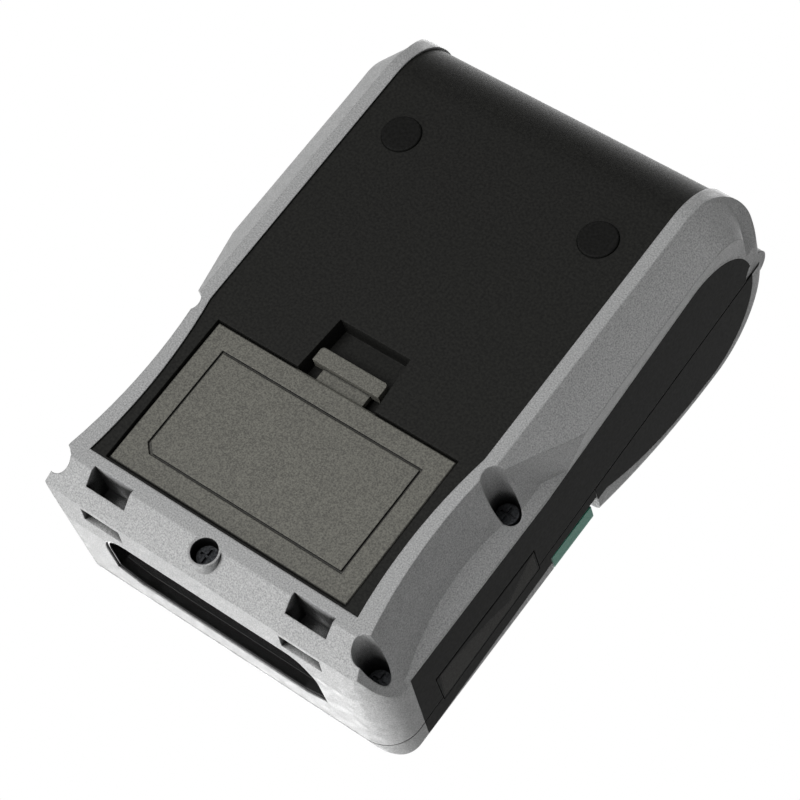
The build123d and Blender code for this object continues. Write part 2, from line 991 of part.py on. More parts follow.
def bottom_panel():
    skin = skin_band(skin_recess, skin_recess + skin_thickness) & skin_plan(-fit_gap)
    flange = skin_band(skin_recess + skin_thickness, inner_floor) & skin_plan(skin_lap)
    panel = (skin + flange) & below_parting(seam_gap)
    x0, x1, y0, y1 = battery_plan
    panel += box(x0 - well_wall, x1 + well_wall, y0 - well_wall, y1 + well_wall, wall, well_roof + well_wall)
    panel += box(
        -recess_half_width - well_wall,
        recess_half_width + well_wall,
        battery_rear,
        recess_rear + well_wall,
        skin_recess + skin_thickness / 2,
        recess_depth + well_wall,
    )
    for x, y in standoff_places():
        panel += rod_z(x, y, well_roof + well_wall / 2, board_low, standoff_radius)
    panel += rod_z(0, roll_y, inner_floor - skin_flange / 2, rack_high, pinion_post_radius)
    for side in (-1, 1):
        panel -= strap_block(side)
    panel -= well_space
    panel -= recess_space
    panel -= hinge_space
    for x, y, depth, boss_radius, bore_radius in screw_wells:
        panel -= rod_z(x, y, -1, far_z, boss_radius + boss_gap)
    for x in (-foot_x, foot_x):
        panel -= rod_z(x, foot_y, -1, foot_thickness, foot_radius + snug_gap)
    for x, y in standoff_places():
        panel -= rod_z(x, y, board_low - standoff_bore, board_low + 1, board_screw_radius)
    half = contact_hole_half
    for x, y in contact_places():
        panel -= box(x - half, x + half, y - half, y + half, well_roof - 1, well_roof + well_wall + 1)
    return panel


def standoff_places():
    return [(x, y) for x in (-standoff_x, standoff_x) for y in (standoff_front, standoff_rear)]


def contact_places():
    return [(contact_pitch * (i - 1.5), battery_front + contact_step) for i in range(4)]


def feet():
    foot = rod_z(foot_x, foot_y, 0, foot_thickness, foot_radius)
    return both(fillet(foot.edges().group_by(Axis.Z)[0], foot_edge_radius))


def lower_side_panel():
    panel = side_panel(half_width, panel_inner, below_parting(seam_gap / 2))
    panel &= outer_body
    panel -= hinge_space
    return panel


# Upper casing and what sits in the deck


def upper_casing():
    casing = shell & above_parting(0, front_y - 1, cover_front - seam_gap)
    wall_y = release_front - release_gap
    low = parting(wall_y) + release_wall / 2
    casing += box(1 - half_width, half_width - 1, wall_y - release_wall, wall_y, low, deck_top) & outer_body
    for x, y, depth, boss_radius, bore_radius in screw_wells:
        post = rod_z(x, y, parting(y) + seam_gap, deck_top - 1, screw_tower_radius)
        casing += post & outer_body
    casing -= release_space()
    for side in (-1, 1):
        casing += pivot_lug(side)
    for x, y, depth, boss_radius, bore_radius in screw_wells:
        casing -= rod_z(x, y, parting(y) - 1, parting(y) + screw_bite + 1, screw_shank_radius)
    casing -= plate_shape(plate_half_width + snug_gap, snug_gap, plate_low, deck_top + 1)
    casing -= plate_shape(plate_half_width - plate_ledge, -plate_ledge, plate_low - beyond / 2, deck_top + 1)
    recess = side_panel(half_width + 1, panel_inner, above_parting(-1, front_y - 1, cover_front))
    casing -= recess
    casing -= mirrored(recess)
    casing -= flap_space
    casing -= seam_line()
    return casing


def seam_line():
    surface = outer_body - body_solid(seam_groove_depth)
    return surface & above_parting(-1, front_y - 1, cover_front) & below_parting(-seam_groove)


def span(side, inner, outer):
    return min(side * inner, side * outer), max(side * inner, side * outer)


def pivot_lug(side):
    near, far = span(side, release_pivot_inner, panel_inner - slide_gap)
    low = release_low - release_shelf_drop
    half = release_lug_radius
    shelf = box(near, far, release_pivot_y - half, release_pivot_y + half, low, low + release_shelf)
    near, far = span(side, release_pivot_inner, release_pivot_outer)
    lug = box(near, far, release_pivot_y - half, release_pivot_y + half, low, release_pivot_z)
    lug += rod_x(near, far, release_pivot_y, release_pivot_z, half)
    bore = release_pivot_radius + running_gap
    return shelf + lug - rod_x(near - 1, far + 1, release_pivot_y, release_pivot_z, bore)


def release_space():
    rear = cover_front - seam_gap
    front = release_front - release_gap
    low = release_low - release_gap
    sunk = low - release_sink
    face = polygon([(front, low), (rear, sunk), (rear + beyond, sunk), (rear + beyond, far_z), (front, far_z)])
    return along_x(face, -far_x, far_x)


def plate_shape(half, grow, z0, z1):
    depth = plate_rear - plate_front + 2 * grow
    plan = RectangleRounded(2 * half, depth, plate_corner)
    return along_z(Pos(0, (plate_rear + plate_front) / 2, 0) * plan.face(), z0, z1)


def control_panel():
    plate = plate_shape(plate_half_width, 0, plate_low, plate_top)
    for x in button_places():
        plate -= rod_z(x, button_y, plate_low - 1, plate_top + 1, button_radius + button_skirt)
    inner = display_half_width - lens_ledge
    plate -= box(-inner, inner, display_front + lens_ledge, display_rear - lens_ledge, plate_low - 1, far_z)
    lens_low = plate_top - lens_thickness
    plate -= box(-display_half_width, display_half_width, display_front, display_rear, lens_low, far_z)
    plate -= rod_z(light_pipe_x, button_y, plate_low - 1, plate_top + 1, light_pipe_radius + snug_gap)
    for x, y in board_post_places():
        plate += rod_z(x, y, plate_low - button_board_depth, plate_low, post_radius)
    return plate


def button_places():
    return [button_pitch * (i - 1) for i in range(3)]


def board_post_places():
    across = (-button_pitch - post_left, button_pitch + post_right)
    return [(x, button_y + side * post_offset) for x in across for side in (-1, 1)]


def button(x):
    top = plate_top + button_proud
    flange_top = plate_low - button_under_gap
    flange_low = flange_top - button_flange_thickness
    cap = rod_z(x, button_y, flange_low, top, button_radius)
    cap = fillet(cap.edges().sort_by(Axis.Z)[-1], button_edge)
    return cap + rod_z(x, button_y, flange_low, flange_top, button_radius + button_flange)


def button_board():
    top = plate_low - button_board_depth
    x0 = -button_pitch - button_board_left
    x1 = button_pitch + button_board_right
    half = button_board_half
    board = box(x0, x1, button_y - half, button_y + half, top - board_thickness, top)
    switch_top = plate_low - button_under_gap - button_flange_thickness - button_travel - switch_gap
    body_top = switch_top - switch_plunger
    half = switch_size / 2
    for x in button_places():
        board += box(x - half, x + half, button_y - half, button_y + half, top, body_top)
        board += rod_z(x, button_y, body_top, switch_top, switch_plunger_radius)
    return board


def light_pipe():
    top = plate_low - button_board_depth
    return rod_z(light_pipe_x, button_y, top, plate_top + light_pipe_proud, light_pipe_radius)


def display_window():
    low = plate_top - lens_thickness
    half = display_half_width - fit_gap
    return box(-half, half, display_front + fit_gap, display_rear - fit_gap, low, plate_top)


def display_module():
    half = display_half_width + display_border
    low = plate_low - display_thickness
    return box(-half, half, display_front - display_border, display_rear + display_border, low, plate_low)


def deck_side_panel():
    zone = above_parting(seam_gap / 2, front_y - 1, cover_front - seam_gap)
    panel = side_panel(half_width, panel_inner, zone) & outer_body
    return panel - release_space()


# Main board and sockets


def main_board():
    board = box(-board_half_width, board_half_width, board_front, board_rear, board_low, board_top)
    for x, y in standoff_places():
        board -= rod_z(x, y, board_low - 1, board_top + 1, board_screw_radius + shank_clearance)
    half = chip_size / 2
    chip_y = board_front + chip_step
    board += box(-half, half, chip_y - half, chip_y + half, board_top, board_top + chip_height)
    x, y = memory_x, board_front + memory_step
    board += box(x, x + memory_width, y, y + memory_depth, board_top, board_top + chip_height)
    x, y = connector_x, board_front + connector_step
    board += box(x, x + connector_width, y, y + connector_depth, board_top, board_top + connector_height)
    y = board_front + capacitor_step
    for i in range(5):
        x = capacitor_x + capacitor_pitch * i
        board += rod_z(x, y, board_top, board_top + capacitor_height, capacitor_radius)
    return board


def board_screws():
    screws = []
    head_top = board_top + board_screw_head_height
    slot_low = board_top + board_screw_head_height / 2
    for x, y in standoff_places():
        head = rod_z(x, y, board_top, head_top, board_screw_head)
        long, thin = board_screw_head * 0.7, screw_slot_width / 2
        head -= box(x - long, x + long, y - thin, y + thin, slot_low, head_top + 1)
        screws.append(head + rod_z(x, y, board_low - board_screw_bite, board_top, board_screw_radius))
    return screws


def socket_shell(y, width, height):
    mouth = socket_mouth
    return box(mouth, mouth + socket_depth, y - width / 2, y + width / 2, board_top, board_top + height)


def usb_socket():
    mouth = socket_mouth
    back = mouth + socket_depth - socket_floor
    high = board_top + usb_height - socket_wall
    half = usb_width / 2 - socket_wall
    hollow = box(mouth - 1, back, usb_y - half, usb_y + half, board_top + socket_wall, high)
    middle = board_top + usb_height / 2
    half = usb_width / 2 - 3.5 * socket_wall
    tongue = box(
        mouth + 2 * socket_wall, back + socket_wall, usb_y - half, usb_y + half,
        middle - socket_wall, middle + socket_wall,
    )
    return socket_shell(usb_y, usb_width, usb_height) - hollow + tongue


def power_socket():
    mouth = socket_mouth
    back = mouth + socket_depth - socket_floor
    middle = board_top + power_height / 2
    body = socket_shell(power_y, power_width, power_height)
    body -= rod_x(mouth - 1, back, power_y, middle, socket_hole_radius)
    return body + rod_x(mouth + 2 * socket_wall, back + socket_wall, power_y, middle, 1.5 * socket_wall)


def port_flap():
    x0 = -half_width
    x1 = x0 + flap_thickness
    flap = along_x(flap_outline(flap_axis_z, 0), x0, x1)
    flap += rod_y(flap_axis_x, flap_front, flap_rear, flap_axis_z, flap_thickness / 2)
    y0, y1 = port_front + plug_gap, port_rear - plug_gap
    z0, z1 = port_low + plug_gap, port_high - plug_gap
    rim = plug_rim
    plug = box(x1, x1 + plug_depth, y0, y1, z0, z1)
    plug -= box(x1 + plug_rim / 3, x1 + 2 * plug_depth, y0 + rim, y1 - rim, z0 + rim, z1 - rim)
    return flap + plug - flap_grip()


def flap_grip():
    front = flap_front + grip_front_lead
    rear = flap_rear - grip_border
    top = flap_rise - grip_border
    low = flap_axis_z
    peak = (front + grip_peak_run, low + grip_peak_low)
    middle = (front + grip_middle_run, low + grip_middle_low)
    edges = [
        ThreePointArc((front, low), middle, peak),
        Line(peak, (rear, low)),
        Line((rear, low), (rear, parting(rear) + top)),
        Line((rear, parting(rear) + top), (flap_front + grip_border, parting(flap_front) + top)),
        Line((flap_front + grip_border, parting(flap_front) + top), (front, low)),
    ]
    return along_x(Face(Wire(edges)), -half_width, -half_width + grip_thickness)


# Battery


def battery_case():
    x0, x1 = -battery_half_width, battery_half_width
    case = box(x0, x1, battery_front, battery_rear, battery_low, battery_top)
    case = chamfer(case.edges().group_by(Axis.Z)[0], battery_edge / 2)
    case = case - battery_groove()
    half = cell_length / 2 + cell_end_fit
    for y, z in cell_places():
        case -= rod_x(-half, half, y, z, cell_radius + snug_gap)
    low, high = tongue_heights()
    half = latch_tongue_half + slide_gap
    pocket_front = battery_rear - latch_tongue_reach - latch_travel - slide_gap
    case -= box(-half, half, pocket_front, battery_rear + 1, low - slide_gap, high + slide_gap)
    return case


def cell_places():
    middle = (battery_front + battery_rear) / 2
    z = battery_low + cell_floor + cell_radius
    return [(middle - cell_pitch / 2, z), (middle + cell_pitch / 2, z)]


def battery_groove():
    def ring(margin):
        x = battery_half_width - margin
        y0 = battery_front + margin
        y1 = battery_rear - margin
        cut = groove_corner
        return polygon([(-x, y0), (x - cut, y0), (x, y0 + cut), (x, y1), (-x, y1)])

    outer = along_z(ring(groove_margin), battery_low - 1, battery_low + groove_depth)
    inner = along_z(ring(groove_margin + groove_width), battery_low - 2, battery_low + 1)
    return outer - inner


def battery_cells():
    half = cell_length / 2
    cells = []
    for y, z in cell_places():
        cells.append(rod_x(-half, half, y, z, cell_radius))
    return cells


def tongue_heights():
    low = latch_low + latch_thickness - latch_tongue_sink
    return low, low + latch_tongue_thickness


def battery_latch():
    half = latch_half_width
    bar = box(-half, half, latch_front, latch_rear, latch_low, latch_low + latch_thickness)
    bar = fillet(bar.edges().filter_by(Axis.Z).group_by(Axis.Y)[-1], latch_corner_radius)
    low, high = tongue_heights()
    tongue_front = battery_rear - latch_tongue_reach
    return bar + box(-latch_tongue_half, latch_tongue_half, tongue_front, latch_rear, low, high)


def battery_pads():
    pads = []
    high = battery_top + pad_thickness
    for x, y in contact_places():
        wide, long = pad_half_width, pad_half_length
        pads.append(box(x - wide, x + wide, y - long, y + long, battery_top, high))
    return pads


def battery_contacts():
    blades = []
    low = battery_top + pad_thickness + slide_gap
    for x, y in contact_places():
        wide, long = blade_half_width, blade_half_length
        blade = box(x - wide, x + wide, y - long, y + long, low, well_roof)
        stem = box(x - stem_half, x + stem_half, y - stem_half, y + stem_half, low, board_low)
        blades.append(blade + stem)
    return blades


# Gears: involute flanks on a few points each


def involute(angle):
    return math.tan(angle) - angle


def gear_face(teeth, phase):
    pitch = module * teeth / 2
    base = pitch * math.cos(math.radians(pressure_angle))
    root = pitch - root_depth * module
    tip = pitch + module
    at_pitch = math.pi / (2 * teeth) - gear_backlash / (2 * pitch)
    points = []
    for i in range(teeth):
        middle = math.radians(phase) + 2 * math.pi * i / teeth
        flank = []
        for radius in (root, max(base, root + 0.05), pitch, (pitch + tip) / 2, tip):
            reach = math.acos(min(1.0, base / radius))
            half = at_pitch + involute(math.radians(pressure_angle)) - involute(reach)
            flank.append((radius, half))
        for radius, half in flank:
            points.append((radius * math.cos(middle - half), radius * math.sin(middle - half)))
        for radius, half in reversed(flank):
            points.append((radius * math.cos(middle + half), radius * math.sin(middle + half)))
    return polygon(points)


def gear_x(teeth, phase, y, z, bore):
    gear = along_x(Pos(y, z, 0) * gear_face(teeth, phase), gear_inner, gear_outer)
    return gear - rod_x(gear_inner - 1, gear_outer + 1, y, z, bore)


def meshed_phase(driver_teeth, driver_phase, line_angle, teeth):
    driver_pitch = 360 / driver_teeth
    nearest = (driver_phase - line_angle) / driver_pitch
    lead = (nearest - math.floor(nearest)) * driver_pitch
    return line_angle + 180 - lead * driver_teeth / teeth + 180 / teeth


# The cover swings the platen up along this line, so the idler lies straight below on it
swing_y = platen_z - hinge_height
swing_z = hinge_y - platen_y
mesh_angle = math.degrees(math.atan2(swing_z, swing_y)) + 180
idler_y, idler_z = on_circle(
    platen_y, platen_z, platen_gear_radius + idler_radius + gear_mesh_slack, mesh_angle
)
motor_y, motor_z = on_circle(
    idler_y, idler_z, idler_radius + motor_gear_radius + gear_mesh_slack, motor_angle
)
platen_phase = mesh_angle
idler_phase = meshed_phase(platen_teeth, platen_phase, mesh_angle, idler_teeth)
motor_phase = meshed_phase(idler_teeth, idler_phase, motor_angle, motor_teeth)


# Print station


def print_chassis():
    x0, x1 = plate_inner, plate_outer
    notch = bush_radius + slide_gap
    outline = polygon([
        (chassis_front, inner_floor),
        (chassis_rear - chassis_toe, inner_floor),
        (chassis_rear, inner_floor + chassis_heel),
        (chassis_rear, platen_z - chassis_toe),
        (platen_y + notch, platen_z + chassis_toe),
        (platen_y + notch, chassis_top),
        (chassis_front + chassis_corner, chassis_top),
        (chassis_front, cross_high),
    ])
    plate = along_x(outline, x0, x1)
    plate -= rod_x(x0 - 1, x1 + 1, platen_y, platen_z, notch)
    plate -= box(x0 - 1, x1 + 1, platen_y - notch, chassis_rear + 1, platen_z, far_z)
    plate -= rod_x(x0 - 1, x1 + 1, bracket_mid(), head_pivot_z, head_pivot_radius + running_gap)
    foot_front = chassis_front + chassis_foot_front
    foot_rear = chassis_rear - chassis_foot_rear
    plate += box(chassis_foot_inner, x1, foot_front, foot_rear, inner_floor, inner_floor + chassis_plate)
    other = mirrored(plate)
    plate -= rod_x(x0 - 1, x1 + 1, motor_y, motor_z, motor_shaft_radius + slide_gap)
    cross = box(-x1, x1, cross_y - chassis_plate, cross_y, cross_low, cross_high)
    return plate + other + cross


def bracket_mid():
    return bracket_face - bracket_thickness / 2


def head_bracket():
    half = head_half_length
    bar = box(-half, half, bracket_back, bracket_face, bracket_low, bracket_high)
    low = bracket_low + bracket_pocket_low
    high = bracket_high - bracket_pocket_high
    for i in range(bracket_rib_count):
        x = bracket_rib_pitch * (i - (bracket_rib_count - 1) / 2)
        near, far = x - bracket_pocket_half, x + bracket_pocket_half
        bar -= box(near, far, bracket_back - 1, bracket_back + bracket_pocket_depth, low, high)
    pin = rod_x(-plate_outer, plate_outer, bracket_mid(), head_pivot_z, head_pivot_radius)
    return bar + pin


def print_head():
    half = head_half_length
    return box(-half, half, bracket_face, head_face, head_low, head_high)


def head_spring():
    springs = []
    low = platen_z - spring_low
    bend = platen_z - spring_bend
    high = platen_z + spring_tip
    near = cross_y + spring_thickness
    tip = bracket_back - slide_gap
    outline = polygon([
        (cross_y, low),
        (cross_y, bend),
        (tip - spring_thickness, high),
        (tip, high),
        (tip, high - spring_tip_height),
        (near, bend - spring_thickness),
        (near, low),
    ])
    half = spring_width / 2
    for x in (-spring_x, spring_x):
        springs.append(along_x(outline, x - half, x + half))
    return springs


def tear_bar():
    count = int(2 * plate_inner / tear_tooth)
    step = 2 * plate_inner / count
    points = [(-plate_inner, tear_bar_low), (plate_inner, tear_bar_low)]
    for i in range(count):
        x = plate_inner - i * step
        points.append((x, tear_bar_high - tear_depth))
        points.append((x - step / 2, tear_bar_high))
    points.append((-plate_inner, tear_bar_high - tear_depth))
    return along_y(polygon(points), tear_bar_y, tear_bar_y + tear_bar_thickness)


def stepper_motor():
    end = plate_inner
    low, high = motor_z - motor_ear_low, motor_z + motor_ear_high
    half = motor_ear_half
    can = rod_x(end - motor_length, end, motor_y, motor_z, motor_radius)
    ears = box(end - chassis_plate, end, motor_y - half, motor_y + half, low, high)
    hole = rod_x(end - motor_bore_depth, end + 1, motor_y, motor_z, motor_shaft_radius + slide_gap)
    return can + ears - hole


def motor_shaft():
    return rod_x(plate_inner - motor_shaft_length, gear_outer, motor_y, motor_z, motor_shaft_radius)


def idler_axle():
    cap_low = gear_outer + axle_cap_gap
    axle = rod_x(plate_outer, cap_low + axle_cap_gap, idler_y, idler_z, idler_axle_radius)
    return axle + rod_x(cap_low, cap_low + axle_cap / 2, idler_y, idler_z, idler_axle_radius + axle_cap)


def platen_shaft():
    left = -plate_outer - bush_lip
    return rod_x(left, gear_outer + bush_lip / 2, platen_y, platen_z, platen_shaft_radius)


def platen_roller():
    half = platen_half_length
    sleeve = rod_x(-half, half, platen_y, platen_z, platen_radius)
    return sleeve - rod_x(-half - 1, half + 1, platen_y, platen_z, platen_shaft_radius)


def platen_bushes():
    bush = rod_x(arm_inner, plate_outer, platen_y, platen_z, bush_radius)
    bush -= rod_x(arm_inner - 1, plate_outer + 1, platen_y, platen_z, platen_shaft_radius + running_gap)
    return both(bush)


# Release bar


def release_bar():
    low = release_low
    top = deck_top + release_rise
    rise = rail_half_width
    cap = box(-half_width, half_width, release_front, release_rear, low, top)
    cap = cap & (outer_body + box(-rise, rise, release_front, release_rear, low, top))
    hollow = box(
        -half_width + wall,
        half_width - wall,
        release_front + release_thickness,
        release_rear + 1,
        low - 1,
        top - release_thickness,
    )
    bar = cap - hollow
    leg_rear = release_rear - hook_step
    leg_front = leg_rear - hook_width
    nose_rear = cover_front - slide_gap - fit_gap * 4
    for side in (-1, 1):
        near, far = span(side, release_pivot_inner, half_width - wall + shank_clearance)
        bar += rod_x(near, far, release_pivot_y, release_pivot_z, release_pivot_radius)
        near, far = span(side, hook_x - hook_width / 2, hook_x + hook_width / 2)
        bar += box(near, far, leg_front, leg_rear, hook_low, top - 1)
        bar += box(near, far, leg_front, nose_rear, hook_low, hook_low + hook_nose)
    return bar


# Roll cover


cover_zone = above_parting(seam_gap, cover_front, half_length + 2)


def barrel(x0, x1):
    return rod_x(x0, x1, hinge_y, hinge_height, barrel_radius)


def lug_spaces():
    spaces = []
    for side in (-1, 1):
        near, far = span(side, lug_inner - slide_gap, lug_outer + slide_gap)
        spaces.append(rod_x(near, far, hinge_y, hinge_height, hinge_cut))
    return spaces


def window_block(grow):
    half = window_half_width + grow
    return box(-half, half, window_front - grow, window_rear + grow, window_low, far_z)


def cover_shell():
    middle = box(-cover_split, cover_split, cover_front + cover_lip, far_y, 0, far_z)
    cover = (shell & cover_zone & middle) + barrel(-cover_split, cover_split)
    for space in lug_spaces():
        cover -= space
    cover -= rod_x(-far_x, far_x, hinge_y, hinge_height, hinge_pin_radius + running_gap)
    cover -= window_block(0)
    lip = shell & window_block(window_frame) & along_x(inset_outline(window_thickness), -far_x, far_x)
    return cover + (lip - window_block(-window_ledge))


def cover_window():
    return (outer_body & window_block(-fit_gap)) - along_x(inset_outline(window_thickness), -far_x, far_x)


def cover_frame():
    frame = shell & cover_zone
    frame -= box(-cover_split, cover_split, cover_front + cover_lip, far_y, 0, far_z)
    catch_rear = cover_front + catch_thickness
    catch_low = hook_low + catch_step
    for side in (-1, 1):
        near, far = span(side, cover_split, half_width - barrel_end_gap)
        frame += barrel(near, far)
        near, far = span(side, hook_x - hook_width / 2, hook_x + hook_width / 2)
        catch = box(near, far, cover_front, catch_rear, catch_low, deck_top)
        frame += catch & outer_body & cover_zone
    recess = side_panel(half_width + 1, panel_inner, cover_zone)
    frame -= recess
    frame -= mirrored(recess)
    return frame


def cover_side_panel():
    panel = side_panel(half_width, panel_inner, cover_zone) & outer_body
    return panel


def platen_carrier():
    inner_y = cover_front + wall
    roof_low = platen_z + carrier_above
    block = inner_body & box(-arm_outer, arm_outer, inner_y, platen_y + carrier_rear, roof_low, far_z)
    low, high = platen_z - arm_below, platen_z + arm_above
    for side in (-1, 1):
        near, far = span(side, arm_inner, arm_outer)
        block += box(near, far, inner_y - arm_front, platen_y + arm_rear, low, high)
    block -= rod_x(-arm_inner, arm_inner, platen_y, platen_z, platen_radius + platen_room)
    block -= rod_x(-far_x, far_x, platen_y, platen_z, bush_radius)
    block -= box(-arm_inner, arm_inner, inner_y - beyond, platen_y, platen_z - beyond, platen_z + platen_radius)
    return block


def hinge_pin():
    half = hinge_pin_half_length
    return rod_x(-half, half, hinge_y, hinge_height, hinge_pin_radius)


def hinge_lugs():
    lugs = []
    for side in (-1, 1):
        near, far = span(side, lug_inner, lug_outer)
        knuckle = rod_x(near, far, hinge_y, hinge_height, lug_radius)
        web = box(near, far, hinge_y - lug_radius, rear_y, hinge_height - lug_web_height, hinge_height)
        web = web & along_x(inset_outline(inner_floor), -far_x, far_x)
        hinge_bore = rod_x(near - 1, far + 1, hinge_y, hinge_height, hinge_pin_radius)
        lugs.append(knuckle + web - hinge_bore)
    return lugs


# Roll tub and guides


def roll_tub():
    rim = parting(roll_y) - seam_gap - tub_rim_gap
    inner = tub_half_length
    length = inner + tub_wall
    low = tub_floor - tub_wall
    bowl = rod_x(-length, length, roll_y, roll_z, tub_radius)
    tub = bowl - rod_x(-inner, inner, roll_y, roll_z, tub_inner_radius)
    tub += box(-length, length, tub_front, tub_rear, low, tub_floor) & bowl
    tub -= box(-far_x, far_x, 0, far_y, rim, far_z)
    tub -= box(-far_x, far_x, 0, far_y, -beyond, low)
    lip = box(-inner, inner, lip_front, tub_front + lip_run, lip_top - lip_thickness, lip_top)
    tub += lip - rod_x(-far_x, far_x, roll_y, roll_z, tub_radius - lip_sink)
    slot_outer = guide_outer + slide_gap
    slot_inner = guide_outer - arm_foot - guide_travel - slide_gap
    half = arm_width / 2 + slide_gap
    for side in (-1, 1):
        y = roll_y + side * rack_arm_offset()
        near, far = span(side, slot_inner, slot_outer)
        tub -= box(near, far, y - half, y + half, 0, tub_floor + 1)
        tub += tub_leg(side)
    return tub


def tub_leg(side):
    x = side * (tub_half_length - tub_leg_inset)
    half = tub_leg_half
    return box(x - half, x + half, roll_y - tub_leg_front, roll_y - tub_leg_rear, inner_floor, tub_floor)


def rack_arm_offset():
    return module * guide_pinion_teeth / 2 + root_depth * module + rack_body / 2


def rack(x0, x1):
    pitch_line = -module * guide_pinion_teeth / 2
    root = pitch_line - root_depth * module
    tip = pitch_line + rack_tooth_height * module
    step = math.pi * module
    slope = math.tan(math.radians(pressure_angle))
    half = step / 4 - gear_backlash / 2
    wide = half + root_depth * module * slope
    thin = half - module * slope
    points = [(x1, root - rack_body), (x0, root - rack_body), (x0, root)]
    first = math.ceil((x0 + step) / step)
    last = math.floor((x1 - step) / step)
    for i in range(first, last + 1):
        middle = (i + 0.5) * step
        points += [(middle - wide, root), (middle - thin, tip), (middle + thin, tip), (middle + wide, root)]
    points.append((x1, root))
    return along_z(polygon(points), rack_low, rack_high)


def roll_guide():
    x0 = -guide_outer
    x1 = x0 + guide_thickness
    half = guide_leg_half
    plate = rod_x(x0, x1, roll_y, roll_z, guide_disc_radius)
    plate += box(x0, x1, roll_y - half, roll_y + half, tub_floor + slide_gap, roll_z)
    hub_end = x1 + guide_hub_length
    hub = rod_x(x1 - guide_thickness / 2, hub_end, roll_y, roll_z, guide_hub_radius)
    hub -= rod_x(x1, hub_end + 1, roll_y, roll_z, guide_hub_radius - guide_hub_wall)
    arm_y = roll_y - rack_arm_offset()
    half = arm_width / 2
    arm = box(x0, x0 + arm_foot, arm_y - half, arm_y + half, rack_high - arm_height, tub_floor + arm_height)
    return plate + hub + arm + Pos(0, roll_y, 0) * rack(x0, rack_overrun)


def other_guide():
    return Pos(0, 2 * roll_y, 0) * (Rot(0, 0, 180) * roll_guide())


def guide_pinion():
    face = gear_face(guide_pinion_teeth, -90)
    low, high = rack_low + pinion_end_gap, rack_high - pinion_end_gap
    pinion = along_z(Pos(0, roll_y, 0) * face, low, high)
    return pinion - rod_z(0, roll_y, 0, far_z, pinion_post_radius + running_gap)


def gap_sensor():
    front = lip_front + shank_clearance
    high = lip_top - lip_thickness
    return box(-sensor_half, sensor_half, front, front + sensor_thickness, high - sensor_height, high)


write("lower_casing", lower_casing())
write("bottom_panel", bottom_panel())
write("hinge_lugs", hinge_lugs())
write("left_side_panel", lower_side_panel() - flap_space)
write("right_side_panel", mirrored(lower_side_panel()))
write("upper_casing", upper_casing())
write("left_deck_panel", deck_side_panel() - flap_space)
write("right_deck_panel", mirrored(deck_side_panel()))
write("control_panel", control_panel())
write("display_window", display_window())
write("display_module", display_module())
write("button_board", button_board())
write("power_button", button(button_places()[0]))
write("feed_button", button(button_places()[1]))
write("function_button", button(button_places()[2]))
write("status_light_pipe", light_pipe())
write("front_insert", front_insert())
write("rubber_feet", feet())
write("casing_screws", [casing_screw(*well[:3]) for well in screw_wells])
write("main_board", main_board())
write("board_screws", board_screws())
write("usb_socket", usb_socket())
write("power_socket", power_socket())
write("port_flap", port_flap())
write("flap_grip", flap_grip())
write("battery_case", battery_case())
write("battery_cells", battery_cells())
write("battery_contact_pads", battery_pads())
write("battery_contacts", battery_contacts())
write("battery_latch", battery_latch())
write("print_chassis", print_chassis())
write("print_head", print_head())
write("head_bracket", head_bracket())
write("head_springs", head_spring())
write("tear_bar", tear_bar())
write("stepper_motor", stepper_motor())
write("motor_shaft", motor_shaft())
write("motor_pinion", gear_x(motor_teeth, motor_phase, motor_y, motor_z, motor_shaft_radius))
write("idler_axle", idler_axle())
write("idler_gear", gear_x(idler_teeth, idler_phase, idler_y, idler_z, idler_axle_radius + running_gap))
write("platen_gear", gear_x(platen_teeth, platen_phase, platen_y, platen_z, platen_shaft_radius))
write("platen_shaft", platen_shaft())
write("platen_roller", platen_roller())
write("platen_bushes", platen_bushes())
write("platen_carrier", platen_carrier())
write("release_bar", release_bar())
write("cover_shell", cover_shell())
write("cover_frame", cover_frame())
write("cover_window", cover_window())
write("left_cover_panel", cover_side_panel())
write("right_cover_panel", mirrored(cover_side_panel()))
write("hinge_pin", hinge_pin())
write("roll_tub", roll_tub())
write("left_roll_guide", roll_guide())
write("right_roll_guide", other_guide())
write("guide_pinion", guide_pinion())
write("gap_sensor", gap_sensor())
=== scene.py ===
import json
import math

import bmesh
import bpy
from mathutils import Matrix, Vector


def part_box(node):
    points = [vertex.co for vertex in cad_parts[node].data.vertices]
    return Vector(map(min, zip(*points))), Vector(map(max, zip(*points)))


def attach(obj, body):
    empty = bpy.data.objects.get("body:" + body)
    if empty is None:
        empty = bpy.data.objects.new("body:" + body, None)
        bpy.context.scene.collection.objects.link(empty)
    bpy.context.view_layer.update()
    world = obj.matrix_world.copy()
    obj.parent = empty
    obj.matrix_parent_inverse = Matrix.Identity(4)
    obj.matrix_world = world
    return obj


# A portable label printer, seen from below on its control end
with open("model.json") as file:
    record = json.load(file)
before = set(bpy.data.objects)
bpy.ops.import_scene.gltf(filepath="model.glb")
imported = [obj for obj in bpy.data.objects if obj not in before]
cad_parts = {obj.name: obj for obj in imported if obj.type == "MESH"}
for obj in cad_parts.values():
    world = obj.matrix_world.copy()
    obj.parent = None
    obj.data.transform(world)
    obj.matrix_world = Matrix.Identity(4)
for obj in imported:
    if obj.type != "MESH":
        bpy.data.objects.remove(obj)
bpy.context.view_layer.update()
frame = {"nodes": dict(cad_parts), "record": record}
nodes = frame["nodes"]
MM = 0.001


# Camera: a long lens, below the floor, looking up at the underside
CAMERA_PLACE = (-0.3012, -0.2104, -0.5827)
CAMERA_RIGHT = Vector((-0.78244, 0.59455, 0.18521))
CAMERA_DOWN = Vector((-0.45792, -0.75088, 0.47590))
CAMERA_FORWARD = Vector((0.42201, 0.28755, 0.85978))
CAMERA_LENS_MM = 131.67
SENSOR_WIDTH_MM = 36.0
CLIP_NEAR = 0.01
CLIP_FAR = 20.0


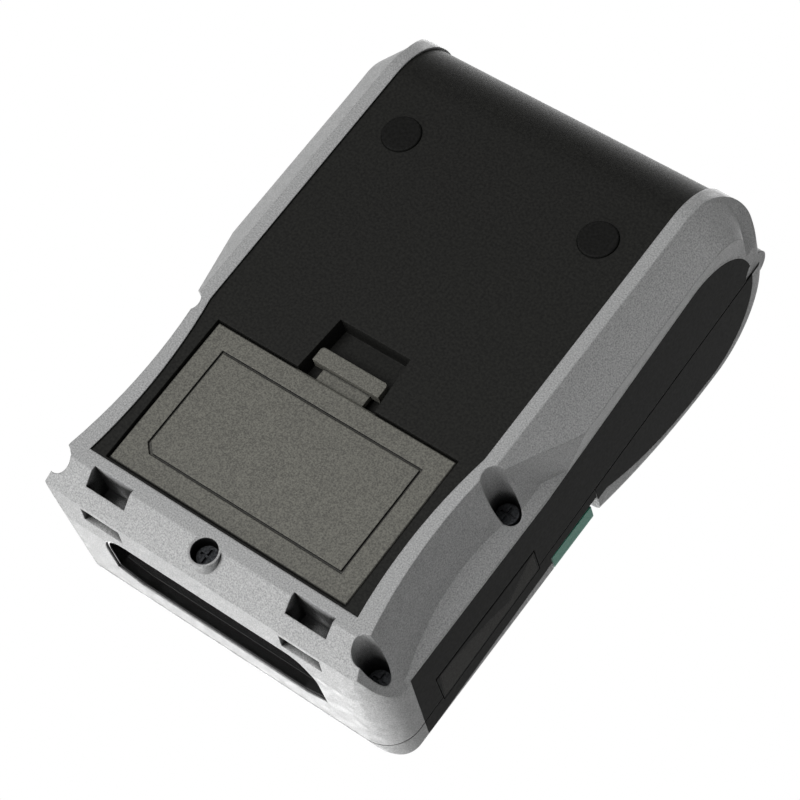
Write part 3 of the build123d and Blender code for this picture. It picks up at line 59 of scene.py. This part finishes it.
def place_camera():
    bpy.ops.object.camera_add()
    camera = bpy.context.object
    camera.name = "photo_camera"
    camera.data.lens = CAMERA_LENS_MM
    camera.data.sensor_width = SENSOR_WIDTH_MM
    camera.data.clip_start = CLIP_NEAR
    camera.data.clip_end = CLIP_FAR
    turn = Matrix((CAMERA_RIGHT, -CAMERA_DOWN, -CAMERA_FORWARD)).transposed()
    camera.matrix_world = Matrix.Translation(CAMERA_PLACE) @ turn.to_4x4()
    bpy.context.scene.camera = camera


place_camera()


# Colours are written as they look, in sRGB, and turned to linear here
def linear(hex_colour):
    channels = [int(hex_colour[i:i + 2], 16) / 255 for i in (1, 3, 5)]
    return tuple(
        c / 12.92 if c <= 0.04045 else ((c + 0.055) / 1.055) ** 2.4 for c in channels
    ) + (1.0,)


def add(tree, kind, settings=None, links=None):
    """One node, with its settings and with the sockets that feed it."""
    node = tree.nodes.new(kind)
    for key, value in (settings or {}).items():
        if isinstance(key, str) and hasattr(node, key):
            setattr(node, key, value)
        else:
            node.inputs[key].default_value = value
    for key, source in (links or {}).items():
        tree.links.new(source, node.inputs[key])
    return node


# A Mix node's colour sockets go by number, because its other kinds use the same names
MIX_FACTOR, MIX_A, MIX_B, MIX_COLOUR = 0, 6, 7, 2

# Most values of a noise texture lie in this range, which a finish spreads over its own
NOISE_SPREAD = {"From Min": 0.35, "From Max": 0.65}

# Edges that the moulds and dies leave soft are rounded in the shading, by about this radius
EDGE_RADIUS_MM = 0.35
EDGE_SAMPLES = 6
DEPTH_SAMPLES = 8


def start_material(name, metallic=0.0, ior=1.5, specular=0.5, edge_mm=EDGE_RADIUS_MM):
    """A material with its shader, the place of each point, and a normal that rounds the edges."""
    material = bpy.data.materials.new(name)
    material.use_nodes = True
    tree = material.node_tree
    shader = tree.nodes["Principled BSDF"]
    shader.inputs["Metallic"].default_value = metallic
    shader.inputs["IOR"].default_value = ior
    shader.inputs["Specular IOR Level"].default_value = specular
    place = add(tree, "ShaderNodeTexCoord").outputs["Object"]
    soft = add(
        tree, "ShaderNodeBevel", {"samples": EDGE_SAMPLES, "Radius": edge_mm * MM}
    ).outputs["Normal"]
    return material, tree, shader, place, soft


def feed(tree, shader, sources):
    """Join each source to the shader's socket of that name."""
    for socket, source in sources.items():
        tree.links.new(source, shader.inputs[socket])


def moulded(name, dark, light, grain_mm, depth_mm, rough, specular=0.5, shade_crevice_mm=0.0):
    """Injection moulded plastic or rubber: an even, fine pebble left by the spark-eroded mould.

    The colour runs from dark to light, and the roughness over the two values of rough. Where
    a crevice width is given, cuts of about that width go nearly black: painted shade, found
    from how closely they are closed in."""
    material, tree, shader, place, soft = start_material(name, specular=specular)
    pebble = add(tree, "ShaderNodeTexNoise", {"Scale": 1 / (grain_mm * MM), "Detail": 3.0},
                 {"Vector": place})
    cloud = add(tree, "ShaderNodeTexNoise", {"Scale": 0.6 / (grain_mm * MM), "Detail": 4.0},
                {"Vector": place})
    mottle = add(tree, "ShaderNodeMapRange", NOISE_SPREAD, {"Value": cloud.outputs["Fac"]})
    shade = add(tree, "ShaderNodeMix",
                {"data_type": "RGBA", MIX_A: linear(dark), MIX_B: linear(light)},
                {MIX_FACTOR: mottle.outputs["Result"]})
    roughness = add(tree, "ShaderNodeMapRange",
                    {**NOISE_SPREAD, "To Min": rough[0], "To Max": rough[1]},
                    {"Value": pebble.outputs["Fac"]})
    bump = add(tree, "ShaderNodeBump", {"Distance": depth_mm * MM},
               {"Height": pebble.outputs["Fac"], "Normal": soft})
    # Painted shade: narrow cuts that are closely closed in go nearly black
    if shade_crevice_mm:
        depth = add(tree, "ShaderNodeAmbientOcclusion",
                    {"samples": DEPTH_SAMPLES, "Distance": shade_crevice_mm * MM})
        unshaded_part = add(tree, "ShaderNodeMapRange", {"From Min": 0.45, "From Max": 0.75},
                        {"Value": depth.outputs["AO"]})
        shade = add(tree, "ShaderNodeMix", {"data_type": "RGBA", MIX_A: linear("#0a0a0a")},
                    {MIX_FACTOR: unshaded_part.outputs["Result"], MIX_B: shade.outputs[MIX_COLOUR]})
    feed(tree, shader, {
        "Base Color": shade.outputs[MIX_COLOUR],
        "Roughness": roughness.outputs["Result"],
        "Normal": bump.outputs["Normal"],
    })
    return material


def silver_paint():
    """Aluminium flake in a clear coat, sprayed on black ABS.

    The flakes give a salt-and-pepper speckle, drawn at 0.36 mm so that it shows. Holes and
    recesses that are deep against hole_mm go nearly black. This is partly bare black plastic that
    the spray doesn't reach, and partly painted shade, since the mask comes from how closely they
    are closed in."""
    flake_mm, cloud_mm, hole_mm = 0.36, 2.4, 7.0
    material, tree, shader, place, soft = start_material(
        "flake_silver_painted_abs", metallic=0.08, specular=0.35, edge_mm=0.6)
    flake = add(tree, "ShaderNodeTexNoise", {"Scale": 1 / (flake_mm * MM), "Detail": 3.0},
                {"Vector": place})
    cloud = add(tree, "ShaderNodeTexNoise", {"Scale": 1 / (cloud_mm * MM), "Detail": 2.0},
                {"Vector": place})
    speckle = add(tree, "ShaderNodeMapRange", {"From Min": 0.34, "From Max": 0.66},
                  {"Value": flake.outputs["Fac"]})
    paint = add(tree, "ShaderNodeMix",
                {"data_type": "RGBA", MIX_A: linear("#8f9090"), MIX_B: linear("#bcbcbc")},
                {MIX_FACTOR: speckle.outputs["Result"]})
    # Deep holes and recesses go nearly black: partly bare black plastic, partly painted shade
    depth = add(tree, "ShaderNodeAmbientOcclusion",
                {"samples": DEPTH_SAMPLES, "Distance": hole_mm * MM})
    open_surface = add(tree, "ShaderNodeMapRange", {"From Min": 0.54, "From Max": 0.70},
                  {"Value": depth.outputs["AO"]})
    shade = add(tree, "ShaderNodeMix", {"data_type": "RGBA", MIX_A: linear("#141414")},
                {MIX_FACTOR: open_surface.outputs["Result"], MIX_B: paint.outputs[MIX_COLOUR]})
    roughness = add(tree, "ShaderNodeMapRange",
                    {"From Min": 0.3, "From Max": 0.7, "To Min": 0.42, "To Max": 0.58},
                    {"Value": cloud.outputs["Fac"]})
    bump = add(tree, "ShaderNodeBump", {"Distance": 0.05 * MM},
               {"Height": flake.outputs["Fac"], "Normal": soft})
    feed(tree, shader, {
        "Base Color": shade.outputs[MIX_COLOUR],
        "Roughness": roughness.outputs["Result"],
        "Normal": bump.outputs["Normal"],
    })
    return material


def worked_metal(name, dark, light, roughness, stretch):
    """Drawn, rolled or turned metal: fine lines along the way it was worked."""
    line_mm = 0.5
    material, tree, shader, place, soft = start_material(name, metallic=1.0, edge_mm=0.15)
    along = add(tree, "ShaderNodeMapping", {"Scale": stretch}, {"Vector": place})
    lines = add(tree, "ShaderNodeTexNoise", {"Scale": 1 / (line_mm * MM), "Detail": 4.0},
                {"Vector": along.outputs["Vector"]})
    streak = add(tree, "ShaderNodeMapRange", NOISE_SPREAD, {"Value": lines.outputs["Fac"]})
    shade = add(tree, "ShaderNodeMix",
                {"data_type": "RGBA", MIX_A: linear(dark), MIX_B: linear(light)},
                {MIX_FACTOR: streak.outputs["Result"]})
    polish = add(tree, "ShaderNodeMapRange",
                 {**NOISE_SPREAD, "To Min": 0.8 * roughness, "To Max": 1.25 * roughness},
                 {"Value": lines.outputs["Fac"]})
    bump = add(tree, "ShaderNodeBump", {"Distance": 0.01 * MM},
               {"Height": lines.outputs["Fac"], "Normal": soft})
    feed(tree, shader, {
        "Base Color": shade.outputs[MIX_COLOUR],
        "Roughness": polish.outputs["Result"],
        "Normal": bump.outputs["Normal"],
    })
    return material


def smoked_window():
    """Polished polycarbonate, tinted grey, with a faint haze from handling.

    It is thin and flat, so what lies behind shows straight through it."""
    haze_mm = 6.0
    material, tree, shader, place, soft = start_material(
        "smoked_polycarbonate", ior=1.585, specular=0.25, edge_mm=0.2)
    haze = add(tree, "ShaderNodeTexNoise", {"Scale": 1 / (haze_mm * MM), "Detail": 4.0},
               {"Vector": place})
    polish = add(tree, "ShaderNodeMapRange",
                 {"From Min": 0.4, "From Max": 0.7, "To Min": 0.04, "To Max": 0.10},
                 {"Value": haze.outputs["Fac"]})
    shader.inputs["Base Color"].default_value = linear("#1d1e20")
    shader.inputs["Alpha"].default_value = 0.30
    feed(tree, shader, {"Roughness": polish.outputs["Result"], "Normal": soft})
    return material


def solder_mask():
    """Glossy green solder mask over etched copper, whose tracks are lighter, raised lines."""
    track_mm = 0.9
    material, tree, shader, place, soft = start_material("green_solder_mask", edge_mm=0.1)
    along = add(tree, "ShaderNodeMapping", {"Scale": (1, 0.12, 1)}, {"Vector": place})
    etched = add(tree, "ShaderNodeTexNoise", {"Scale": 1 / (track_mm * MM), "Detail": 1.0},
                 {"Vector": along.outputs["Vector"]})
    tracks = add(tree, "ShaderNodeMapRange", {"From Min": 0.47, "From Max": 0.53},
                 {"Value": etched.outputs["Fac"]})
    shade = add(tree, "ShaderNodeMix",
                {"data_type": "RGBA", MIX_A: linear("#12422a"), MIX_B: linear("#1f6440")},
                {MIX_FACTOR: tracks.outputs["Result"]})
    bump = add(tree, "ShaderNodeBump", {"Distance": 0.03 * MM},
               {"Height": tracks.outputs["Result"], "Normal": soft})
    shader.inputs["Roughness"].default_value = 0.3
    feed(tree, shader, {
        "Base Color": shade.outputs[MIX_COLOUR],
        "Normal": bump.outputs["Normal"],
    })
    return material


# One finish for each material slot of the record. Plastics reflect about 4 percent, and the
# blacks rather less, because their grain traps light.
MATERIALS = {
    # The casing, its black skins and what shows on the outside
    "silver_paint": silver_paint(),
    "black_plastic": moulded(
        "grained_black_abs", "#20201f", "#2b2b29",
        grain_mm=0.40, depth_mm=0.05, rough=(0.48, 0.62), specular=0.12),
    "gloss_black": moulded(
        "polished_black_abs", "#0a0a0a", "#101010",
        grain_mm=2.00, depth_mm=0.004, rough=(0.10, 0.16), specular=0.45),
    # The battery's cut lines go nearly black with painted shade
    "battery_plastic": moulded(
        "coarse_grained_grey_abs", "#565550", "#797870",
        grain_mm=0.25, depth_mm=0.08, rough=(0.46, 0.64), specular=0.40, shade_crevice_mm=1.2),
    "green_plastic": moulded(
        "satin_green_abs", "#4a9a83", "#58aa92",
        grain_mm=0.40, depth_mm=0.02, rough=(0.36, 0.46), specular=0.20),
    "rubber": moulded(
        "moulded_black_rubber", "#131312", "#1d1d1c",
        grain_mm=0.45, depth_mm=0.03, rough=(0.60, 0.78), specular=0.15),
    "flap_rubber": moulded(
        "soft_grey_elastomer", "#22211f", "#2b2a28",
        grain_mm=0.40, depth_mm=0.03, rough=(0.60, 0.74), specular=0.10),
    "clear": smoked_window(),
    "key_plastic": moulded(
        "satin_grey_key_abs", "#5a5a5a", "#6a6a69",
        grain_mm=0.35, depth_mm=0.02, rough=(0.36, 0.46)),
    # Metals: the lines run along X on zinc and aluminium and along Z on gold. Black oxide has none.
    "steel": worked_metal("zinc_plated_steel", "#9a9da0", "#c4c6c8", 0.34, (0.1, 1, 1)),
    "black_steel": worked_metal("black_oxide_steel", "#3a3b3d", "#55575a", 0.38, (1, 1, 1)),
    "aluminium": worked_metal("extruded_aluminium", "#a9abad", "#cfd1d2", 0.36, (0.1, 1, 1)),
    "gold": worked_metal("gold_flashed_copper", "#c29c4c", "#e0bf70", 0.26, (1, 1, 0.2)),
    # What is inside
    "circuit_board": solder_mask(),
    "gear_plastic": moulded(
        "natural_acetal", "#cfccc2", "#dedbd2",
        grain_mm=0.80, depth_mm=0.01, rough=(0.34, 0.42)),
    "ceramic": moulded(
        "glazed_ceramic_strip", "#7d5a44", "#94705a",
        grain_mm=0.70, depth_mm=0.01, rough=(0.14, 0.24)),
    "grey_plastic": moulded(
        "moulded_mid_grey_abs", "#484847", "#585857",
        grain_mm=0.40, depth_mm=0.03, rough=(0.50, 0.62), specular=0.4),
    "cell_wrap": moulded(
        "blue_shrink_wrap", "#1c3d7a", "#27519a",
        grain_mm=1.20, depth_mm=0.02, rough=(0.20, 0.30)),
}

slots = {entry["node"]: entry["material_slot"] for entry in frame["record"]["subparts"]}

# The side panels come from a smoother mould than the underside, which leaves a low sheen
SMOOTH_BLACK = moulded(
    "smooth_black_abs", "#181817", "#20201f",
    grain_mm=0.60, depth_mm=0.01, rough=(0.38, 0.46), specular=0.015)
SMOOTH_PANELS = [
    side + "_" + kind + "_panel" for side in ("left", "right") for kind in ("side", "deck", "cover")
] + ["port_flap"]

# The display is a liquid crystal cell, dark and slightly green when it is lit from outside
LCD_CELL = moulded(
    "liquid_crystal_cell", "#39433e", "#424d47",
    grain_mm=0.30, depth_mm=0.002, rough=(0.50, 0.60), specular=0.10)

LENSES = ("display_window", "cover_window")


def finish_nodes():
    own_finish = {name: SMOOTH_BLACK for name in SMOOTH_PANELS} | {"display_module": LCD_CELL}
    for name, node in nodes.items():
        material = own_finish.get(name, MATERIALS[slots[name]])
        node.data.materials.clear()
        node.data.materials.append(material)
    # The thin lenses cast no shadow on what they cover
    for name in LENSES:
        nodes[name].visible_shadow = False


# The marks on the keys are pad-printed, and the display shows pale segments. Both stand a
# little proud of what they are on.
MARK_HEIGHT = 0.12 * MM
MARK_EDGE = 0.03 * MM
PRINT = moulded(
    "pad_printed_light_grey_ink", "#b9bab8", "#c9cac8",
    grain_mm=0.30, depth_mm=0.005, rough=(0.50, 0.60), specular=0.30)
GLOW = moulded(
    "pale_display_segments", "#a3bdae", "#b5cdbf",
    grain_mm=0.40, depth_mm=0.005, rough=(0.40, 0.50), specular=0.30)


def select_only(piece):
    bpy.ops.object.select_all(action="DESELECT")
    if piece:
        piece.select_set(True)
        bpy.context.view_layer.objects.active = piece


def raise_mark():
    """Give the open shape in edit mode its thickness and soft edges."""
    bpy.ops.mesh.select_all(action="SELECT")
    bpy.ops.mesh.extrude_region_move(TRANSFORM_OT_translate={"value": (0, 0, MARK_HEIGHT)})
    bpy.ops.mesh.select_all(action="SELECT")
    bpy.ops.mesh.normals_make_consistent(inside=False)
    bpy.ops.mesh.bevel(offset=MARK_EDGE, segments=1)
    bpy.ops.object.mode_set(mode="OBJECT")


def bar_mark(place, length, width):
    select_only(None)
    bpy.ops.mesh.primitive_plane_add(size=1.0, location=place)
    bpy.ops.object.mode_set(mode="EDIT")
    bpy.ops.transform.resize(value=(length, width, 1.0), center_override=place)
    raise_mark()
    return bpy.context.object


def arrow_mark(place, radius):
    select_only(None)
    bpy.ops.mesh.primitive_circle_add(vertices=3, radius=radius, fill_type="NGON", location=place)
    bpy.ops.object.mode_set(mode="EDIT")
    raise_mark()
    return bpy.context.object


def ring_mark(place, outer, inner, gap_degrees):
    """A ring that is open towards the roll end."""
    select_only(None)
    bpy.ops.mesh.primitive_circle_add(
        vertices=48, radius=outer, fill_type="NOTHING", location=place)
    ring = bpy.context.object
    bpy.ops.object.mode_set(mode="EDIT")
    bpy.ops.mesh.extrude_region_move()
    bpy.ops.transform.resize(value=(inner / outer, inner / outer, 1.0), center_override=place)
    bpy.ops.mesh.select_all(action="DESELECT")
    mesh = bmesh.from_edit_mesh(ring.data)
    for vertex in mesh.verts:
        angle = math.degrees(math.atan2(vertex.co.x, vertex.co.y))
        vertex.select_set(abs(angle) < gap_degrees / 2)
    mesh.select_flush_mode()
    bmesh.update_edit_mesh(ring.data)
    bpy.ops.mesh.delete(type="VERT")
    raise_mark()
    return ring


def join_mark(name, parts, material, body):
    select_only(parts[0])
    for part in parts:
        part.select_set(True)
    bpy.ops.object.join()
    mark = bpy.context.object
    mark.name = name
    bpy.ops.object.transform_apply(location=True, rotation=True, scale=True)
    mark.data.materials.clear()
    mark.data.materials.append(material)
    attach(mark, body)


def top_centre(node):
    low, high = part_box(node)
    return Vector(((low[0] + high[0]) / 2, (low[1] + high[1]) / 2, high[2]))


def bar(centre, x_mm, y_mm, length_mm, width_mm):
    """A bar at a step in mm from centre."""
    return bar_mark(centre + Vector((x_mm * MM, y_mm * MM, 0)), length_mm * MM, width_mm * MM)


def mark_keys():
    # A broken ring with a stroke in its gap
    centre = top_centre("power_button")
    ring = ring_mark(centre, outer=2.0 * MM, inner=1.6 * MM, gap_degrees=70)
    stroke = bar(centre, 0, 1.3, 0.4, 2.0)
    join_mark("power_key_mark", [ring, stroke], PRINT, "power_key")

    # An arrow that leaves a line
    centre = top_centre("feed_button")
    arrow = arrow_mark(centre + Vector((0, 0.9 * MM, 0)), 1.5 * MM)
    stem = bar(centre, 0, -0.9, 0.5, 1.8)
    line = bar(centre, 0, -2.1, 2.8, 0.4)
    join_mark("feed_key_mark", [arrow, stem, line], PRINT, "feed_key")

    # Three lines of a list
    centre = top_centre("function_button")
    lines = [bar(centre, 0, step, 3.2, 0.45) for step in (-1.2, 0, 1.2)]
    join_mark("function_key_mark", lines, PRINT, "function_key")


# What the display shows, in mm from the middle of its cell
SEGMENT_LINE = 0.3
SEGMENT_LAP = 0.2


def outline(centre, x, y, half_length, half_height):
    """Four bars round a rectangle. The long ones lap over the ends of the others."""
    length = 2 * half_length + SEGMENT_LAP
    height = 2 * half_height - SEGMENT_LAP
    return [
        bar(centre, x, y + half_height, length, SEGMENT_LINE),
        bar(centre, x, y - half_height, length, SEGMENT_LINE),
        bar(centre, x - half_length, y, SEGMENT_LINE, height),
        bar(centre, x + half_length, y, SEGMENT_LINE, height),
    ]


def fill_display():
    centre = top_centre("display_module")

    # A charge gauge with its tip and three filled cells
    parts = outline(centre, -11.0, 4.6, half_length=2.6, half_height=1.3)
    parts.append(bar(centre, -8.0, 4.6, 0.5, 1.0))
    parts += [bar(centre, -12.6 + 1.4 * step, 4.6, 1.0, 1.6) for step in range(3)]

    # A label with three lines on it
    parts += outline(centre, 0, -2.6, half_length=9.9, half_height=3.8)
    for x, y, length in ((-3.0, -0.8, 11.0), (-1.0, -2.6, 15.0), (-4.5, -4.4, 8.0)):
        parts.append(bar(centre, x, y, length, 0.7))

    # Four bars of signal strength, each taller than the one before
    for step in range(4):
        parts.append(bar(centre, 8.0 + 1.3 * step, 4.0 + 0.25 * step, 0.8, 0.8 + 0.5 * step))

    join_mark("display_reading", parts, GLOW, "base")


# Floor and light
FLOOR_SIZE = 6.0


def make_floor():
    bpy.ops.mesh.primitive_plane_add(size=FLOOR_SIZE)
    floor = bpy.context.object
    floor.name = "floor"
    material = bpy.data.materials.new("pale_floor")
    material.use_nodes = True
    tree = material.node_tree
    shader = tree.nodes["Principled BSDF"]
    shader.inputs["Base Color"].default_value = linear("#ececec")
    shader.inputs["Roughness"].default_value = 0.9
    # The camera is under the floor, so the floor is clear from that side
    clear = add(tree, "ShaderNodeBsdfTransparent").outputs["BSDF"]
    behind = add(tree, "ShaderNodeNewGeometry").outputs["Backfacing"]
    mix = add(tree, "ShaderNodeMixShader", {}, {0: behind, 1: shader.outputs["BSDF"], 2: clear})
    tree.links.new(mix.outputs["Shader"], tree.nodes["Material Output"].inputs["Surface"])
    floor.data.materials.append(material)
    # It lets the lamps below through, and throws no light up at the part
    floor.visible_shadow = False
    floor.visible_diffuse = False


def make_world():
    """White where it is seen, and a soft, weak light on everything else."""
    world = bpy.data.worlds.new("studio")
    bpy.context.scene.world = world
    bpy.context.scene.view_settings.view_transform = "Standard"
    world.use_nodes = True
    tree = world.node_tree
    tree.nodes.clear()
    rays = add(tree, "ShaderNodeLightPath").outputs
    seen = rays["Is Camera Ray"]
    for ray in ("Is Transmission Ray", "Is Glossy Ray"):
        either = add(tree, "ShaderNodeMath", {"operation": "MAXIMUM"}, {0: seen, 1: rays[ray]})
        seen = either.outputs[0]
    soft, white = [
        add(tree, "ShaderNodeBackground", {"Color": linear("#ffffff"), "Strength": strength})
        for strength in (0.16, 1.0)
    ]
    mix = add(tree, "ShaderNodeMixShader", {},
              {0: seen, 1: soft.outputs["Background"], 2: white.outputs["Background"]})
    add(tree, "ShaderNodeOutputWorld", {}, {"Surface": mix.outputs["Shader"]})


# The lamps all aim at the middle of the part
LAMP_AIM = Vector((0, 0, 0.03))


def lamp(name, place, size, watts):
    bpy.ops.object.light_add(type="AREA", location=place)
    light = bpy.context.object
    light.name = name
    light.data.size = size
    light.data.energy = watts
    light.rotation_mode = "QUATERNION"
    light.rotation_quaternion = (LAMP_AIM - Vector(place)).to_track_quat("-Z", "Y")


make_floor()
make_world()
lamp("front_lamp", (0.30, -1.15, -0.05), size=0.8, watts=7)
lamp("under_lamp", (0.20, -0.45, -1.10), size=0.8, watts=11)
lamp("top_lamp", (0.20, -0.30, 1.25), size=0.9, watts=11)
lamp("rear_lamp", (0.50, 1.00, 0.70), size=0.9, watts=7)

finish_nodes()
mark_keys()
fill_display()
